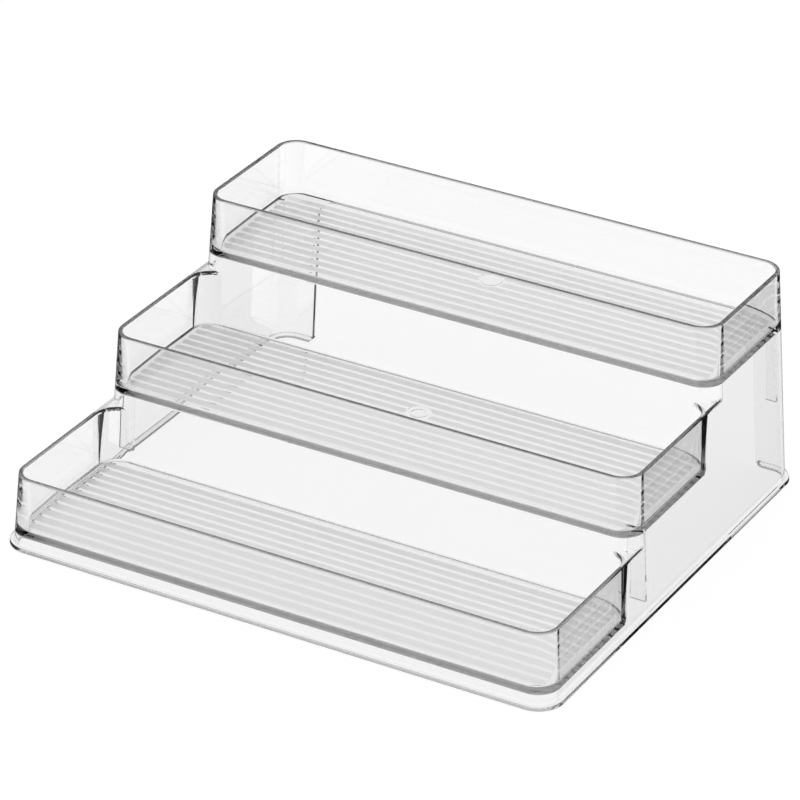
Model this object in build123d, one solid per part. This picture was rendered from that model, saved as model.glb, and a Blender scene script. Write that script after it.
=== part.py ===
from build123d import *
import os

# Three-tier shelf riser, moulded in one piece from clear plastic.
#
# The whole moulding is modelled first: three trays that step up to the rear, one skirt round
# them, and a hollow that is open below and behind. It is then divided, without gaps or
# overlaps, into the regions that a person would name. The origin is the centre of the
# footprint, on the surface that the riser stands on. +X is right, +Y is the rear, +Z is up.

# Trays, front to rear: the height of each rim, and where each front rim is along Y
RIM_HEIGHT = (39.8, 79.8, 120.8)
RIM_FRONT = (-131.1, -42.7, 44.9)
RIM_REAR = 129.3
TRAY_NAME = ("front_tray", "middle_tray", "top_tray")

# Outer faces: half the width at the base, and the draft of each face in mm per mm of height
BASE_HALF_WIDTH = 153.6
SIDE_DRAFT = 0.063
FRONT_DRAFT = (0.060, 0.030, 0.030)
REAR_DRAFT = 0.035
OUTER_RADIUS = 12.0

# Tray pockets
RIM_THICKNESS = 2.2
POCKET_DRAFT = 0.006
POCKET_FRONT_RADIUS = 9.8
POCKET_REAR_RADIUS = 11.5
FLOOR_UNDER_RIM = 33.0
FLOOR_THICKNESS = 2.6
FLOOR_COVE = 1.2
RIM_ROUND = 1.0

# Hollow under the trays
SKIRT_THICKNESS = 2.1
WEB_THICKNESS = 2.0
HOLLOW_CORNER_RADIUS = 9.9
HOLLOW_COVE = 0.8
CORNER_HOLLOW_REACH = 11.0
CORNER_HOLLOW_RADIUS = 2.8
OVERCUT = 5.0

# Rear opening between the two corner returns
OPENING_TOP = 86.8
OPENING_HALF_WIDTH = 131.9
OPENING_DRAFT = 0.058
OPENING_TOP_RADIUS = 11.0
OPENING_FOOT_RADIUS = 4.5
OPENING_FOOT_DROP = 0.5

# Base flange
FLANGE_OVERHANG = 2.2
FLANGE_THICKNESS = 2.2
FLANGE_ROUND = 0.4

# Low ribs across each tray floor
RIB_PITCH = 6.4
RIB_FOOT = 2.2
RIB_CREST = 1.6
RIB_HEIGHT = 0.25
RIB_END_GAP = 3.0
RIB_WALL_GAP = 1.7
RIB_COUNT = (13, 13, 12)
FIRST_RIB_BEHIND_RIM = (5.3, 6.4, 6.7)

# Moulding gate marks on the middle and top tray floors: a smooth round patch without ribs
GATE_BEHIND_RIM = {1: 55.6, 2: 43.1}
GATE_PATCH_RADIUS = 6.8
GATE_HEIGHT = 0.3
GATE_RING_OUTER = 4.7
GATE_RING_INNER = 3.8
GATE_DISC_RADIUS = 5.6

# Stacking ribs under the middle and top trays
STACK_RIB_BEHIND_RIM = {1: 12.2, 2: 71.8}
STACK_RIB_THICKNESS = 1.8
STACK_RIB_LENGTH = 38.5
STACK_RIB_TOP_X = 141.0
STACK_RIB_DRAFT = 0.038

# Planes that divide the moulding into named regions
CORNER_X = 131.0
CORNER_DEPTH = 14.0
CURVE_DEPTH = 12.5
FAR = 400.0
ALL = (-FAR, FAR)
LEFT = (-FAR, -CORNER_X)
MIDDLE = (-CORNER_X, CORNER_X)


def half_width(z):
    """Half the outside width of the moulding at a height."""
    return BASE_HALF_WIDTH - SIDE_DRAFT * z


def front_face(tier, z):
    """Where the outer front face of a tier is at a height."""
    return RIM_FRONT[tier] - FRONT_DRAFT[tier] * (RIM_HEIGHT[tier] - z)


def rear_face(z):
    """Where the outer rear face is at a height."""
    return RIM_REAR + REAR_DRAFT * (RIM_HEIGHT[-1] - z)


def floor_bottom(tier):
    """The height of the underside of a tray floor."""
    return RIM_HEIGHT[tier] - FLOOR_UNDER_RIM


def floor_top(tier):
    """The height of the upper side of a tray floor."""
    return floor_bottom(tier) + FLOOR_THICKNESS


def frustum(section, low, high, front_radius, rear_radius):
    """A block with flat drafted sides. section(z) gives its half width, front and rear."""
    low_half, low_front, low_rear = section(low)
    high_half, high_front, high_rear = section(high)
    wedge = Solid.make_wedge(
        2 * low_half,
        high - low,
        low_rear - low_front,
        low_half - high_half,
        low_rear - high_rear,
        low_half + high_half,
        low_rear - high_front,
    )
    block = Pos(-low_half, low_rear, low) * Rot(90, 0, 0) * wedge
    middle = (low_front + low_rear) / 2
    rise = (high - low) / 2
    upright = [e for e in block.edges() if abs(e.position_at(1).Z - e.position_at(0).Z) > rise]
    front = [e for e in upright if e.center().Y < middle]
    rear = [e for e in upright if e.center().Y > middle]
    return block.fillet(front_radius, front).fillet(rear_radius, rear)


def level_edges(solid, z):
    """The edges that lie at one height."""
    return [e for e in solid.edges() if all(abs(e.position_at(t).Z - z) < 0.01 for t in (0, 0.5, 1))]


def outer_section(tier, grow=0.0):
    """The outline of a tier's block, from its front face to the rear face."""

    def section(z):
        return half_width(z) + grow, front_face(tier, z) - grow, rear_face(z) + grow

    return section


def pocket_section(tier, grow=0.0):
    """The outline of a tray's pocket, or of the pocket with a wall of that thickness round it."""

    def section(z):
        top = RIM_HEIGHT[tier]
        lean = POCKET_DRAFT * (top - z)
        half = half_width(top) - RIM_THICKNESS - lean
        front = RIM_FRONT[tier] + RIM_THICKNESS + lean
        last = tier == len(RIM_HEIGHT) - 1
        rear = RIM_REAR - RIM_THICKNESS - lean if last else front_face(tier + 1, z)
        return half + grow, front - grow, rear + grow

    return section


def pocket(tier, low, high, grow=0.0):
    """A tray's pocket between two heights."""
    last = tier == len(RIM_HEIGHT) - 1
    rear_radius = POCKET_FRONT_RADIUS if last else POCKET_REAR_RADIUS
    return frustum(
        pocket_section(tier, grow), low, high, POCKET_FRONT_RADIUS + grow, rear_radius + grow
    )


def tray_block(tier):
    """A tier from the base to its rim with its pocket cut out and its rim rounded."""
    top = RIM_HEIGHT[tier]
    block = frustum(outer_section(tier), 0, top, OUTER_RADIUS, OUTER_RADIUS)
    hollow = pocket(tier, floor_top(tier), top)
    hollow = hollow.fillet(FLOOR_COVE, level_edges(hollow, floor_top(tier)))
    tray = (block - hollow).solid()
    return tray.fillet(RIM_ROUND, level_edges(tray, top))


def hollow_section(tier, reach=0.0):
    """The outline of the hollow under a tier, which may reach forward of the tier's front wall."""

    def section(z):
        front = front_face(tier, z) + SKIRT_THICKNESS - reach
        return half_width(z) - SKIRT_THICKNESS, front, rear_face(z) - SKIRT_THICKNESS

    return section


def hollow_below(tier):
    """The hollow under one tray floor, with its upper edges rounded."""
    top = floor_bottom(tier)
    low = -OVERCUT
    space = frustum(hollow_section(tier), low, top, HOLLOW_CORNER_RADIUS, HOLLOW_CORNER_RADIUS)
    return space.fillet(HOLLOW_COVE, level_edges(space, top))


def corner_hollow(tier):
    """The two small hollows behind a tray's rounded rear corners, open from below."""
    top = RIM_HEIGHT[tier] - WEB_THICKNESS
    space = frustum(
        hollow_section(tier + 1, CORNER_HOLLOW_REACH), -OVERCUT, top,
        CORNER_HOLLOW_RADIUS, HOLLOW_CORNER_RADIUS,
    )
    inside = pocket(tier, floor_bottom(tier), RIM_HEIGHT[tier], SKIRT_THICKNESS)
    return space - inside


def rear_opening():
    """The opening in the rear, wider at the base, with all its corners rounded."""
    foot_half = OPENING_HALF_WIDTH + OPENING_DRAFT * OPENING_FOOT_DROP
    top_half = OPENING_HALF_WIDTH - OPENING_DRAFT * OPENING_TOP
    right = [(top_half, OPENING_TOP), (foot_half, -OPENING_FOOT_DROP), (FAR, -OPENING_FOOT_DROP), (FAR, -FAR)]
    left = [(-x, z) for x, z in reversed(right)]
    face = make_face(Polyline(*right, *left, close=True))
    upper = [v for v in face.vertices() if v.Y > 0]
    face = fillet(upper, OPENING_TOP_RADIUS)
    foot = [v for v in face.vertices() if -OVERCUT < v.Y < 0 and abs(v.X) < FAR / 2]
    face = fillet(foot, OPENING_FOOT_RADIUS + OPENING_FOOT_DROP)
    depth = CORNER_DEPTH + OVERCUT
    start = RIM_REAR - CORNER_DEPTH / 2
    return Pos(0, start + depth, 0) * extrude(Rot(90, 0, 0) * face, depth)


def base_flange():
    """The flange round the foot of the skirt, without the length across the rear opening."""
    grown = frustum(
        outer_section(0, FLANGE_OVERHANG), 0, FLANGE_THICKNESS,
        OUTER_RADIUS + FLANGE_OVERHANG, OUTER_RADIUS + FLANGE_OVERHANG,
    )
    grown = grown.fillet(FLANGE_ROUND, level_edges(grown, 0) + level_edges(grown, FLANGE_THICKNESS))
    block = frustum(outer_section(0), -OVERCUT, OVERCUT, OUTER_RADIUS, OUTER_RADIUS)
    return grown - block - rear_opening()


def moulding():
    """The walls, floors and skirt in one solid, without the flange and the ribs."""
    shell = tray_block(0) + tray_block(1) + tray_block(2)
    for tier in range(3):
        shell -= hollow_below(tier)
    for tier in range(2):
        shell -= corner_hollow(tier)
    return shell - rear_opening()


def box_between(x_range, y_range, z_range):
    """A box between two corners."""
    size = [high - low for low, high in (x_range, y_range, z_range)]
    place = [low for low, high in (x_range, y_range, z_range)]
    return Pos(*place) * Box(*size, align=(Align.MIN, Align.MIN, Align.MIN))


def tray_ribs(tier):
    """The low ribs across a tray floor, which stop short of its walls and of its gate mark."""
    base = floor_top(tier)
    profile = Polyline(
        (-RIB_FOOT / 2, 0), (RIB_FOOT / 2, 0), (RIB_CREST / 2, RIB_HEIGHT), (-RIB_CREST / 2, RIB_HEIGHT),
        close=True,
    )
    bar = Pos(-FAR / 2, 0, 0) * extrude(Plane.YZ * make_face(profile), FAR)
    first = RIM_FRONT[tier] + FIRST_RIB_BEHIND_RIM[tier]
    reach = half_width(RIM_HEIGHT[tier]) - RIM_THICKNESS - RIB_END_GAP
    limit = pocket(tier, base, base + RIB_HEIGHT, -RIB_WALL_GAP)
    limit &= box_between((-reach, reach), ALL, ALL)
    if tier in GATE_BEHIND_RIM:
        patch_y = RIM_FRONT[tier] + GATE_BEHIND_RIM[tier]
        limit -= Pos(0, patch_y, base) * Cylinder(GATE_PATCH_RADIUS, FAR)
    ribs = []
    for index in range(RIB_COUNT[tier]):
        rib = Pos(0, first + index * RIB_PITCH, base) * bar
        ribs.extend((rib & limit).solids())
    return ribs


def gate_mark(tier, outer, inner):
    """A low round mark in the middle of a tray floor, left by the moulding gate."""
    mark = Cylinder(outer, GATE_HEIGHT, align=(Align.CENTER, Align.CENTER, Align.MIN))
    if inner:
        mark -= Cylinder(inner, FAR)
    return Pos(0, RIM_FRONT[tier] + GATE_BEHIND_RIM[tier], floor_top(tier)) * mark


def stacking_rib(tier):
    """The left upright plate in the hollow under a tray, which keeps stacked risers apart."""
    top = floor_bottom(tier)
    low = top - STACK_RIB_LENGTH
    low_x = STACK_RIB_TOP_X + STACK_RIB_DRAFT * STACK_RIB_LENGTH
    outline = Polyline((-low_x, low), (-STACK_RIB_TOP_X, top), (-FAR, top), (-FAR, low), close=True)
    plate = extrude(Plane.XZ * make_face(outline), STACK_RIB_THICKNESS / 2, both=True)
    place = Pos(0, RIM_FRONT[tier] + STACK_RIB_BEHIND_RIM[tier], 0)
    return (place * plate & hollow_below(tier)).solid()


def floor_region(tier):
    """The space of a tray's flat floor, inside the cove at the foot of its walls."""
    return pocket(tier, floor_bottom(tier), floor_top(tier) + FLOOR_COVE, -FLOOR_COVE)


def curve_region(tier):
    """The space of the curved wall at a tray's left rear corner."""
    top = RIM_HEIGHT[tier] - WEB_THICKNESS
    grown = pocket(tier, floor_bottom(tier), top, SKIRT_THICKNESS)
    next_front = RIM_FRONT[tier + 1]
    return grown & box_between(LEFT, (next_front - CURVE_DEPTH, next_front + CORNER_DEPTH), ALL)


def divide(shell, flange):
    """Divides the moulding into its named regions. Returns the middle and the left-hand ones."""
    middle, left = {}, {}
    rest = shell
    for tier, name in enumerate(TRAY_NAME):
        region = floor_region(tier)
        middle[name + "_floor"] = rest & region
        rest -= region

    front, second, third = (y + CORNER_DEPTH for y in RIM_FRONT)
    rear = RIM_REAR - CORNER_DEPTH
    middle["front_wall"] = rest & box_between(MIDDLE, (-FAR, front), ALL)
    middle["middle_riser"] = rest & box_between(MIDDLE, (front, second), ALL)
    middle["top_riser"] = rest & box_between(MIDDLE, (second, third), ALL)
    middle["rear_wall"] = rest & box_between(MIDDLE, (rear, FAR), (OPENING_TOP, FAR))
    middle["front_flange"] = flange & box_between(MIDDLE, (-FAR, front), ALL)

    side = rest & box_between((-FAR, 0), ALL, ALL)
    back = side & box_between((-FAR, 0), (rear, FAR), (-FAR, OPENING_TOP))
    left["{side}_rear_return"] = back + (flange & box_between((-FAR, 0), (rear, FAR), ALL))
    left["rear_{side}_corner"] = side & box_between(LEFT, (rear, FAR), (OPENING_TOP, FAR))
    corner = box_between(LEFT, (-FAR, front), ALL)
    left["front_{side}_corner"] = (side & corner) + (flange & corner)
    left["{side}_flange"] = flange & box_between((-FAR, 0), (front, rear), ALL)

    side &= box_between(LEFT, (front, rear), ALL)
    for tier, upper in ((0, "middle"), (1, "top")):
        tray, name = TRAY_NAME[tier], TRAY_NAME[tier].split("_")[0]
        next_front, rim = RIM_FRONT[tier + 1], RIM_HEIGHT[tier]
        span = (next_front - CURVE_DEPTH, next_front + CORNER_DEPTH)
        web = box_between(LEFT, span, (rim - WEB_THICKNESS, rim))
        post = box_between(LEFT, (next_front - CORNER_DEPTH, next_front + CORNER_DEPTH), (rim, FAR))
        curve = curve_region(tier)
        left[name + "_{side}_web"] = side & web
        left[upper + "_{side}_corner"] = side & post
        left[tray + "_{side}_curve"] = side & curve
        side = side - web - post - curve
    left["{side}_front_side"] = side & box_between(LEFT, (front, second), ALL)
    left["{side}_middle_side"] = side & box_between(LEFT, (second, third), ALL)
    left["{side}_rear_side"] = side & box_between(LEFT, (third, rear), ALL)
    return middle, left


def build_nodes():
    """Every named node of the riser."""
    nodes, left = divide(moulding(), base_flange())
    for tier, name in enumerate(TRAY_NAME):
        nodes[name + "_ribs"] = Compound(children=tray_ribs(tier))
    nodes["middle_gate_ring"] = gate_mark(1, GATE_RING_OUTER, GATE_RING_INNER)
    nodes["top_gate_disc"] = gate_mark(2, GATE_DISC_RADIUS, 0)
    left["middle_{side}_stacking_rib"] = stacking_rib(1)
    left["top_{side}_stacking_rib"] = stacking_rib(2)
    for name, shape in left.items():
        nodes[name.format(side="left")] = shape
        nodes[name.format(side="right")] = mirror(shape, Plane.YZ)
    return nodes


if __name__ == "__main__":
    os.makedirs("parts", exist_ok=True)
    for name, shape in build_nodes().items():
        export_step(shape, f"parts/{name}.step")
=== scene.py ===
import math

import bpy
from mathutils import Matrix, Vector
from mathutils.bvhtree import BVHTree
from mathutils.geometry import delaunay_2d_cdt


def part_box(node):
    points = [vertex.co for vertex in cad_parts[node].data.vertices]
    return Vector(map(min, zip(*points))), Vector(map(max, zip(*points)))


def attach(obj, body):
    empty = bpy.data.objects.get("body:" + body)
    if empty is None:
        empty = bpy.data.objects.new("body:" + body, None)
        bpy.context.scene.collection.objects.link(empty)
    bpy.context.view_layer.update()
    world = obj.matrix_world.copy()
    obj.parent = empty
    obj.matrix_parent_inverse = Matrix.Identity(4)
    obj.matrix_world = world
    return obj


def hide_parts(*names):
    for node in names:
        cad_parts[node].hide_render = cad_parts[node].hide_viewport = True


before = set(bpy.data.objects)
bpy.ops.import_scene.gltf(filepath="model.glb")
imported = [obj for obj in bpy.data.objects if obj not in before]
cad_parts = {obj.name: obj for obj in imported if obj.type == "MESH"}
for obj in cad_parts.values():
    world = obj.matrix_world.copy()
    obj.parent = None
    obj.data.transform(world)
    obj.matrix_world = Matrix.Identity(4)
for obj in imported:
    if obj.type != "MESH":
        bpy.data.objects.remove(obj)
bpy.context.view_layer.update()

# The camera: where it looks, from how far away, and the direction of its view.
CAMERA_TARGET = Vector((0.0089, -0.0222, 0.0759))
CAMERA_DISTANCE = 2.3
CAMERA_AZIMUTH = math.radians(29.36)
CAMERA_ELEVATION = math.radians(28.60)
CAMERA_ROLL = math.radians(0.74)
CAMERA_LENS = 209.4

# Two pieces of the moulding touch where their faces are this close and face each other.
TOUCH = 1e-4
FACING = -0.95
COPLANAR = 1e-5
PLANE_STEPS = 5
NORMAL_DIGITS = 3
WELD_DIGITS = 7
SHRINK = 0.1
MM_PER_M = 1000
CUT_TOLERANCE_MM = 1e-4
SMALLEST_FACE = 1e-12

# The plastic: how it bends, dims and scatters light, where it is matt, and the painted shade that darkens
# the rounded edge of each tray rim.
PLASTIC_IOR = 1.57
PLASTIC_TINT = 0.99
ABSORPTION = 5.0
CLEAR_ROUGHNESS = 0.02
FROST_ROUGHNESS = 0.42
FROST_EDGE = 0.0002
GATE_PATCH_RADIUS = 0.0068
# Painted shade on each tray rim: how far below the rim top the darkened band reaches, and the dark base
# colour painted at the top.
RIM_PAINTED_SHADE_DEPTH = 0.0012
RIM_PAINTED_SHADE = 0.06
RIM_DIGITS = 4
RIB_SOFTNESS = 0.85

# Noise textures on the plastic: scale and detail.
SMEARS = (60.0, 4.0)
RIPPLES = (25.0, 1.0)
GRAIN = (1800.0, 2.0)
RIPPLE_STRENGTH = 0.01
RIPPLE_DISTANCE = 0.001

# The studio: a floor that glows just below the part, and how grey the world is at each height.
FLOOR_HALF = 6.0
FLOOR_GLOW = 0.89
FLOOR_GREY = 0.2
FLOOR_GAP = 0.0003
WORLD_GREYS = ((0.0, 0.04), (0.2, 0.10), (0.48, 0.45), (0.8, 1.0))
WORLD_STRENGTH = 0.9
BACKDROP_GREY = 0.95


# ---------------------------------------------------------------- meshes of the pieces


class Patch:
    """One flat polygon of a CAD node, with the normals that its corners are shaded with."""

    def __init__(self, node, points, normals, facing):
        self.node = node
        self.points = points
        self.normals = normals
        self.facing = facing
        self.centre = sum(points, Vector()) / len(points)
        self.joined = False

    def samples(self):
        """The middle of the patch and points just inside its corners."""
        return [self.centre] + [p.lerp(self.centre, SHRINK) for p in self.points]


def read_patches():
    """Every polygon of every CAD node."""
    patches = []
    for name in sorted(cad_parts):
        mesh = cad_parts[name].data
        corner_normals = mesh.corner_normals
        for polygon in mesh.polygons:
            points = [mesh.vertices[i].co.copy() for i in polygon.vertices]
            normals = [corner_normals[i].vector.copy() for i in polygon.loop_indices]
            patches.append(Patch(name, points, normals, polygon.normal.copy()))
    return patches


def search_tree(patches):
    """A tree that finds the patches near a point."""
    points, faces = [], []
    for patch in patches:
        faces.append(range(len(points), len(points) + len(patch.points)))
        points.extend(patch.points)
    return BVHTree.FromPolygons(points, [tuple(face) for face in faces])


def neighbours(tree, patches, node, facing, point):
    """The patches of other nodes that lie against a point of one node's surface."""
    found = []
    for _, _, index, _ in tree.find_nearest_range(point, TOUCH):
        other = patches[index]
        if other.node != node and other.facing.dot(facing) < FACING:
            found.append(index)
    return found


def plane_key(patch):
    """The same for all the patches of a node that lie in one plane."""
    normal = tuple(round(c, NORMAL_DIGITS) for c in patch.facing)
    return patch.node, normal, round(patch.centre.dot(patch.facing) / COPLANAR / PLANE_STEPS)


def outline(patches):
    """The edges that only one of these patches has."""
    edges = {}
    for patch in patches:
        keys = [tuple(round(c, WELD_DIGITS) for c in p) for p in patch.points]
        for a, b in zip(keys, keys[1:] + keys[:1]):
            edges[(a, b)] = None
    return [edge for edge in edges if (edge[1], edge[0]) not in edges]


def imprint(tree, patches, plane, partners):
    """Cuts the patches of one plane along the outlines of what lies against them.

    The cut can leave corners on the rim of the plane that the planes beside it don't have. Being
    inside is judged by nearness, so faces just outside a narrow patch can be kept as well.
    """
    first = plane[0]
    facing = first.facing
    across = facing.orthogonal().normalized()
    along = facing.cross(across)
    origin = first.centre
    flat, edges = [], []
    index_of = {}

    def flat_index(key):
        if key not in index_of:
            index_of[key] = len(flat)
            offset = Vector(key) - origin
            flat.append(Vector((offset.dot(across), offset.dot(along))) * MM_PER_M)
        return index_of[key]

    for group in [plane] + partners:
        for a, b in outline(group):
            edges.append((flat_index(a), flat_index(b)))
    points, _, faces, _, _, _ = delaunay_2d_cdt(flat, edges, [], 0, CUT_TOLERANCE_MM)
    points = [origin + across * (p.x / MM_PER_M) + along * (p.y / MM_PER_M) for p in points]
    members = {id(patch) for patch in plane}
    result = []
    for face in faces:
        corners = [points[i] for i in face]
        normal = (corners[1] - corners[0]).cross(corners[2] - corners[0])
        if normal.dot(facing) < 0:
            corners.reverse()
        patch = Patch(first.node, corners, [facing.copy() for _ in corners], facing.copy())
        near = tree.find_nearest_range(patch.centre, TOUCH)
        inside = any(id(patches[index]) in members for _, _, index, _ in near)
        if inside and normal.length > SMALLEST_FACE:
            patch.joined = bool(neighbours(tree, patches, patch.node, facing, patch.centre))
            result.append(patch)
    return result


def joined_patches(patches):
    """Marks where the pieces of the moulding run into each other.

    A flat face that does so only in part is split there.
    """
    tree = search_tree(patches)
    against = [set() for _ in patches]
    partial = set()
    for index, patch in enumerate(patches):
        touching = [neighbours(tree, patches, patch.node, patch.facing, p) for p in patch.samples()]
        patch.joined = bool(touching[0])
        if any(touching) and not all(touching):
            partial.add(index)
        for other in touching[0]:
            against[index].add(other)
            against[other].add(index)
    partial |= {i for i, patch in enumerate(patches) if against[i] and not patch.joined}
    planes = {}
    for index, patch in enumerate(patches):
        planes.setdefault(plane_key(patch), []).append(index)
    result = []
    for members in planes.values():
        plane = [patches[i] for i in members]
        if not any(i in partial for i in members):
            result.extend(plane)
            continue
        groups = {}
        for i in members:
            for other in against[i]:
                groups.setdefault(patches[other].node, {})[other] = patches[other]
        result.extend(imprint(tree, patches, plane, [list(g.values()) for g in groups.values()]))
    return result


def soften(patches):
    """Shades the flanks of the low ribs nearly as level as the floor that they rise from."""
    for patch in patches:
        if patch.facing.z > 0 and not patch.joined:
            patch.normals = [n.lerp(Vector((0, 0, 1)), RIB_SOFTNESS).normalized() for n in patch.normals]


def build_piece(node, patches, materials):
    """A piece of clear plastic in the place of one CAD node, made of the node's patches."""
    points, faces, normals, joined = [], [], [], []
    index_of = {}
    for patch in patches:
        face = []
        for point in patch.points:
            key = tuple(round(c, WELD_DIGITS) for c in point)
            if key not in index_of:
                index_of[key] = len(points)
                points.append(key)
            face.append(index_of[key])
        if len(set(face)) < len(face):
            continue
        faces.append(face)
        normals.extend(patch.normals)
        joined.append(patch.joined)
    mesh = bpy.data.meshes.new(node + "_look")
    mesh.from_pydata(points, [], faces)
    for material in materials:
        mesh.materials.append(material)
    mesh.polygons.foreach_set("material_index", [int(j) for j in joined])
    mesh.polygons.foreach_set("use_smooth", [True] * len(faces))
    mesh.normals_split_custom_set([tuple(n) for n in normals])
    piece = bpy.data.objects.new(node + "_look", mesh)
    bpy.context.scene.collection.objects.link(piece)
    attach(piece, "root")
    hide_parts(node)
    return piece


# ---------------------------------------------------------------- materials


def clear_plastic(name, frosted=None, rim=None):
    """Clear moulded plastic, with faint wipe marks in its gloss and faint ripples in its surface.

    frosted is a function that gives the share of matt texture from the shader's coordinates.
    rim is the height of a tray rim. Its rounded edge gets painted shade: the base colour darkens towards
    the rim top, in place of light that the rounded edge refracts away.
    """
    material = bpy.data.materials.new(name)
    material.use_nodes = True
    tree = material.node_tree
    shader = tree.nodes["Principled BSDF"]
    shader.inputs["Base Color"].default_value = (PLASTIC_TINT, PLASTIC_TINT, PLASTIC_TINT, 1)
    shader.inputs["Transmission Weight"].default_value = 1.0
    shader.inputs["IOR"].default_value = PLASTIC_IOR
    place = tree.nodes.new("ShaderNodeTexCoord").outputs["Object"]
    smears = noise(tree, place, *SMEARS)
    gloss = map_range(tree, smears, (0.35, 0.75), (CLEAR_ROUGHNESS * 0.5, CLEAR_ROUGHNESS * 1.8))
    height = noise(tree, place, *RIPPLES)
    if frosted:
        share = frosted(tree, place)
        grain = noise(tree, place, *GRAIN)
        matt = map_range(tree, grain, (0.3, 0.7), (FROST_ROUGHNESS * 0.85, FROST_ROUGHNESS * 1.15))
        gloss = mix_values(tree, share, gloss, matt)
    tree.links.new(gloss, shader.inputs["Roughness"])
    # Painted shade: over the top band of the rim, the base colour runs from the plastic's own colour down
    # to a dark grey, in place of light that the rounded edge refracts away.
    if rim:
        split = tree.nodes.new("ShaderNodeSeparateXYZ")
        tree.links.new(place, split.inputs["Vector"])
        painted_rim_shade = map_range(tree, split.outputs["Z"], (rim - RIM_PAINTED_SHADE_DEPTH, rim), (PLASTIC_TINT, RIM_PAINTED_SHADE))
        tree.links.new(painted_rim_shade, shader.inputs["Base Color"])
    relief = tree.nodes.new("ShaderNodeBump")
    relief.inputs["Strength"].default_value = RIPPLE_STRENGTH
    relief.inputs["Distance"].default_value = RIPPLE_DISTANCE
    tree.links.new(height, relief.inputs["Height"])
    tree.links.new(relief.outputs["Normal"], shader.inputs["Normal"])
    darken_by_depth(tree, shader)
    return material


def noise(tree, place, scale, detail):
    """The value of a noise texture."""
    node = tree.nodes.new("ShaderNodeTexNoise")
    node.inputs["Scale"].default_value = scale
    node.inputs["Detail"].default_value = detail
    tree.links.new(place, node.inputs["Vector"])
    return node.outputs["Fac"]


def map_range(tree, value, old, new):
    """A value taken from one range to another, and held inside it."""
    node = tree.nodes.new("ShaderNodeMapRange")
    for name, number in zip(("From Min", "From Max", "To Min", "To Max"), (*old, *new)):
        node.inputs[name].default_value = number
    tree.links.new(value, node.inputs["Value"])
    return node.outputs["Result"]


def mix_values(tree, share, first, second):
    """One value where share is 0 and the other where it is 1."""
    difference = maths(tree, "SUBTRACT", second, first)
    return maths(tree, "ADD", first, maths(tree, "MULTIPLY", share, difference))


def band(tree, value, low, high):
    """1 between two limits and 0 outside them, with narrow soft edges."""
    rise = map_range(tree, value, (low, low + FROST_EDGE), (0, 1))
    fall = map_range(tree, value, (high - FROST_EDGE, high), (1, 0))
    return maths(tree, "MULTIPLY", rise, fall)


def between_ribs(name):
    """The matt texture that fills the ribbed field of a tray floor, round its clear gate mark."""
    low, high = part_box(name + "_ribs")
    gates = [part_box(gate) for gate in ("middle_gate_ring", "top_gate_disc")]
    gates = [(a + b) / 2 for a, b in gates if abs(a.z - low.z) < FROST_EDGE]

    def frosted(tree, place):
        split = tree.nodes.new("ShaderNodeSeparateXYZ")
        tree.links.new(place, split.inputs["Vector"])
        share = band(tree, split.outputs["X"], low.x, high.x)
        share = maths(tree, "MULTIPLY", share, band(tree, split.outputs["Y"], low.y, high.y))
        top = band(tree, split.outputs["Z"], low.z - 2 * FROST_EDGE, low.z + 2 * FROST_EDGE)
        share = maths(tree, "MULTIPLY", share, top)
        for gate in gates:
            away = tree.nodes.new("ShaderNodeVectorMath")
            away.operation = "DISTANCE"
            tree.links.new(place, away.inputs[0])
            away.inputs[1].default_value = (gate.x, gate.y, low.z)
            edge = (GATE_PATCH_RADIUS, GATE_PATCH_RADIUS + FROST_EDGE)
            share = maths(tree, "MULTIPLY", share, map_range(tree, away.outputs["Value"], edge, (0, 1)))
        return share

    return frosted


def maths(tree, operation, first, second=None):
    """The output of one Math node on sockets or numbers."""
    node = tree.nodes.new("ShaderNodeMath")
    node.operation = operation
    for socket, value in zip(node.inputs, (first, second)):
        if isinstance(value, (int, float)):
            socket.default_value = value
        elif value is not None:
            tree.links.new(value, socket)
    return node.outputs[0]


def darken_by_depth(tree, shader):
    """Light that has run a long way inside the plastic comes out darker."""
    path = tree.nodes.new("ShaderNodeLightPath")
    side = tree.nodes.new("ShaderNodeNewGeometry")
    passed = maths(tree, "EXPONENT", maths(tree, "MULTIPLY", path.outputs["Ray Length"], -ABSORPTION))
    lost = maths(tree, "SUBTRACT", 1.0, passed)
    inside_only = maths(tree, "MULTIPLY", lost, side.outputs["Backfacing"])
    mix = tree.nodes.new("ShaderNodeMixShader")
    tree.links.new(inside_only, mix.inputs["Fac"])
    tree.links.new(shader.outputs["BSDF"], mix.inputs[1])
    tree.links.new(mix.outputs["Shader"], tree.nodes["Material Output"].inputs["Surface"])


def joined_inside():
    """Where two pieces of the moulding are one plastic, there is no surface to see."""
    material = bpy.data.materials.new("joined_inside")
    material.use_nodes = True
    shader = material.node_tree.nodes["Principled BSDF"]
    shader.inputs["Alpha"].default_value = 0.0
    return material


# ---------------------------------------------------------------- the studio


def studio_floor():
    """A plain floor that glows, so that it stays pale under and behind the clear plastic."""
    mesh = bpy.data.meshes.new("studio_floor")
    half = FLOOR_HALF
    mesh.from_pydata(
        [(x, y, -FLOOR_GAP) for x, y in ((-half, -half), (half, -half), (half, half), (-half, half))],
        [],
        [(0, 1, 2, 3)],
    )
    material = bpy.data.materials.new("studio_floor")
    material.use_nodes = True
    shader = material.node_tree.nodes["Principled BSDF"]
    shader.inputs["Base Color"].default_value = (FLOOR_GREY, FLOOR_GREY, FLOOR_GREY, 1)
    shader.inputs["Roughness"].default_value = 1.0
    shader.inputs["Specular IOR Level"].default_value = 0.0
    shader.inputs["Emission Color"].default_value = (1, 1, 1, 1)
    shader.inputs["Emission Strength"].default_value = FLOOR_GLOW
    mesh.materials.append(material)
    floor = bpy.data.objects.new("studio_floor", mesh)
    bpy.context.scene.collection.objects.link(floor)
    floor.visible_glossy = False


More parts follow.
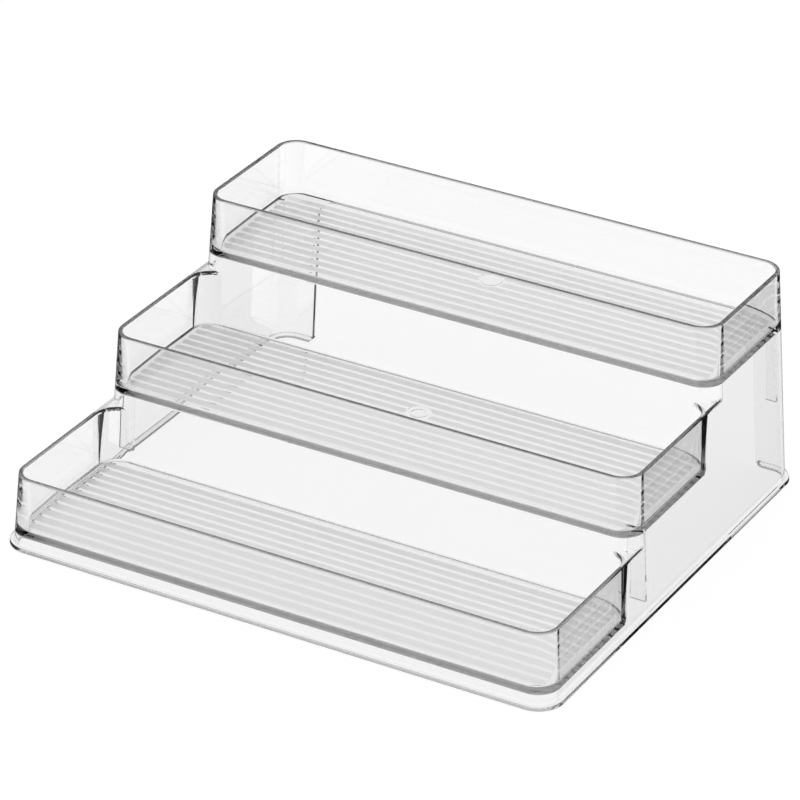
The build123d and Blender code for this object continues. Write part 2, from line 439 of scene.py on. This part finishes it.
def studio_world():
    """A soft bright ceiling and darker walls. The camera itself sees an even pale backdrop."""
    world = bpy.data.worlds.new("studio")
    bpy.context.scene.world = world
    world.use_nodes = True
    tree = world.node_tree
    background = tree.nodes["Background"]
    place = tree.nodes.new("ShaderNodeTexCoord")
    split = tree.nodes.new("ShaderNodeSeparateXYZ")
    tree.links.new(place.outputs["Generated"], split.inputs["Vector"])
    ramp = tree.nodes.new("ShaderNodeValToRGB")
    ramp.color_ramp.elements.remove(ramp.color_ramp.elements[1])
    for position, grey in WORLD_GREYS:
        element = ramp.color_ramp.elements.new(position)
        element.color = (grey, grey, grey, 1)
    ramp.color_ramp.elements.remove(ramp.color_ramp.elements[0])
    tree.links.new(split.outputs["Z"], ramp.inputs["Fac"])
    ray = tree.nodes.new("ShaderNodeLightPath")
    mix = tree.nodes.new("ShaderNodeMix")
    mix.data_type = "RGBA"
    mix.inputs["B"].default_value = (BACKDROP_GREY, BACKDROP_GREY, BACKDROP_GREY, 1)
    tree.links.new(ray.outputs["Is Camera Ray"], mix.inputs["Factor"])
    tree.links.new(ramp.outputs["Color"], mix.inputs["A"])
    tree.links.new(mix.outputs["Result"], background.inputs["Color"])
    background.inputs["Strength"].default_value = WORLD_STRENGTH


def studio_camera():
    """The camera, at the angle that its azimuth, elevation and roll give."""
    data = bpy.data.cameras.new("camera")
    data.lens = CAMERA_LENS
    data.clip_end = 50
    camera = bpy.data.objects.new("camera", data)
    bpy.context.scene.collection.objects.link(camera)
    level = math.cos(CAMERA_ELEVATION)
    forward = Vector(
        (-math.sin(CAMERA_AZIMUTH) * level, math.cos(CAMERA_AZIMUTH) * level, -math.sin(CAMERA_ELEVATION))
    )
    turn = forward.to_track_quat("-Z", "Y").to_matrix() @ Matrix.Rotation(CAMERA_ROLL, 3, "Z")
    camera.matrix_world = Matrix.Translation(CAMERA_TARGET - forward * CAMERA_DISTANCE) @ turn.to_4x4()
    bpy.context.scene.camera = camera


scene = bpy.context.scene
scene.view_settings.view_transform = "Standard"
scene.cycles.max_bounces = 32
scene.cycles.transmission_bounces = 32
scene.cycles.glossy_bounces = 12
scene.cycles.transparent_max_bounces = 48

clear = clear_plastic("clear_plastic")
inside = joined_inside()
floors = {
    name + "_floor": clear_plastic(name + "_floor_plastic", between_ribs(name))
    for name in ("front_tray", "middle_tray", "top_tray")
}
by_node = {}
for patch in joined_patches(read_patches()):
    by_node.setdefault(patch.node, []).append(patch)
# One plastic with painted shade along the rim for each tray rim height.
rims_with_painted_shade = {}
for wall in ("front_wall", "middle_riser", "top_riser"):
    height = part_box(wall)[1].z
    rims_with_painted_shade[round(height, RIM_DIGITS)] = clear_plastic(wall + "_rim_painted_shade_plastic", rim=height)
for node, patches in by_node.items():
    if node.endswith("_ribs"):
        soften(patches)
    outer = floors.get(node, clear)
    # Pieces that reach a tray rim's height get the plastic with painted rim shade.
    if not node.endswith("_web"):
        outer = rims_with_painted_shade.get(round(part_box(node)[1].z, RIM_DIGITS), outer)
    build_piece(node, patches, [outer, inside])

studio_floor()
studio_world()
studio_camera()
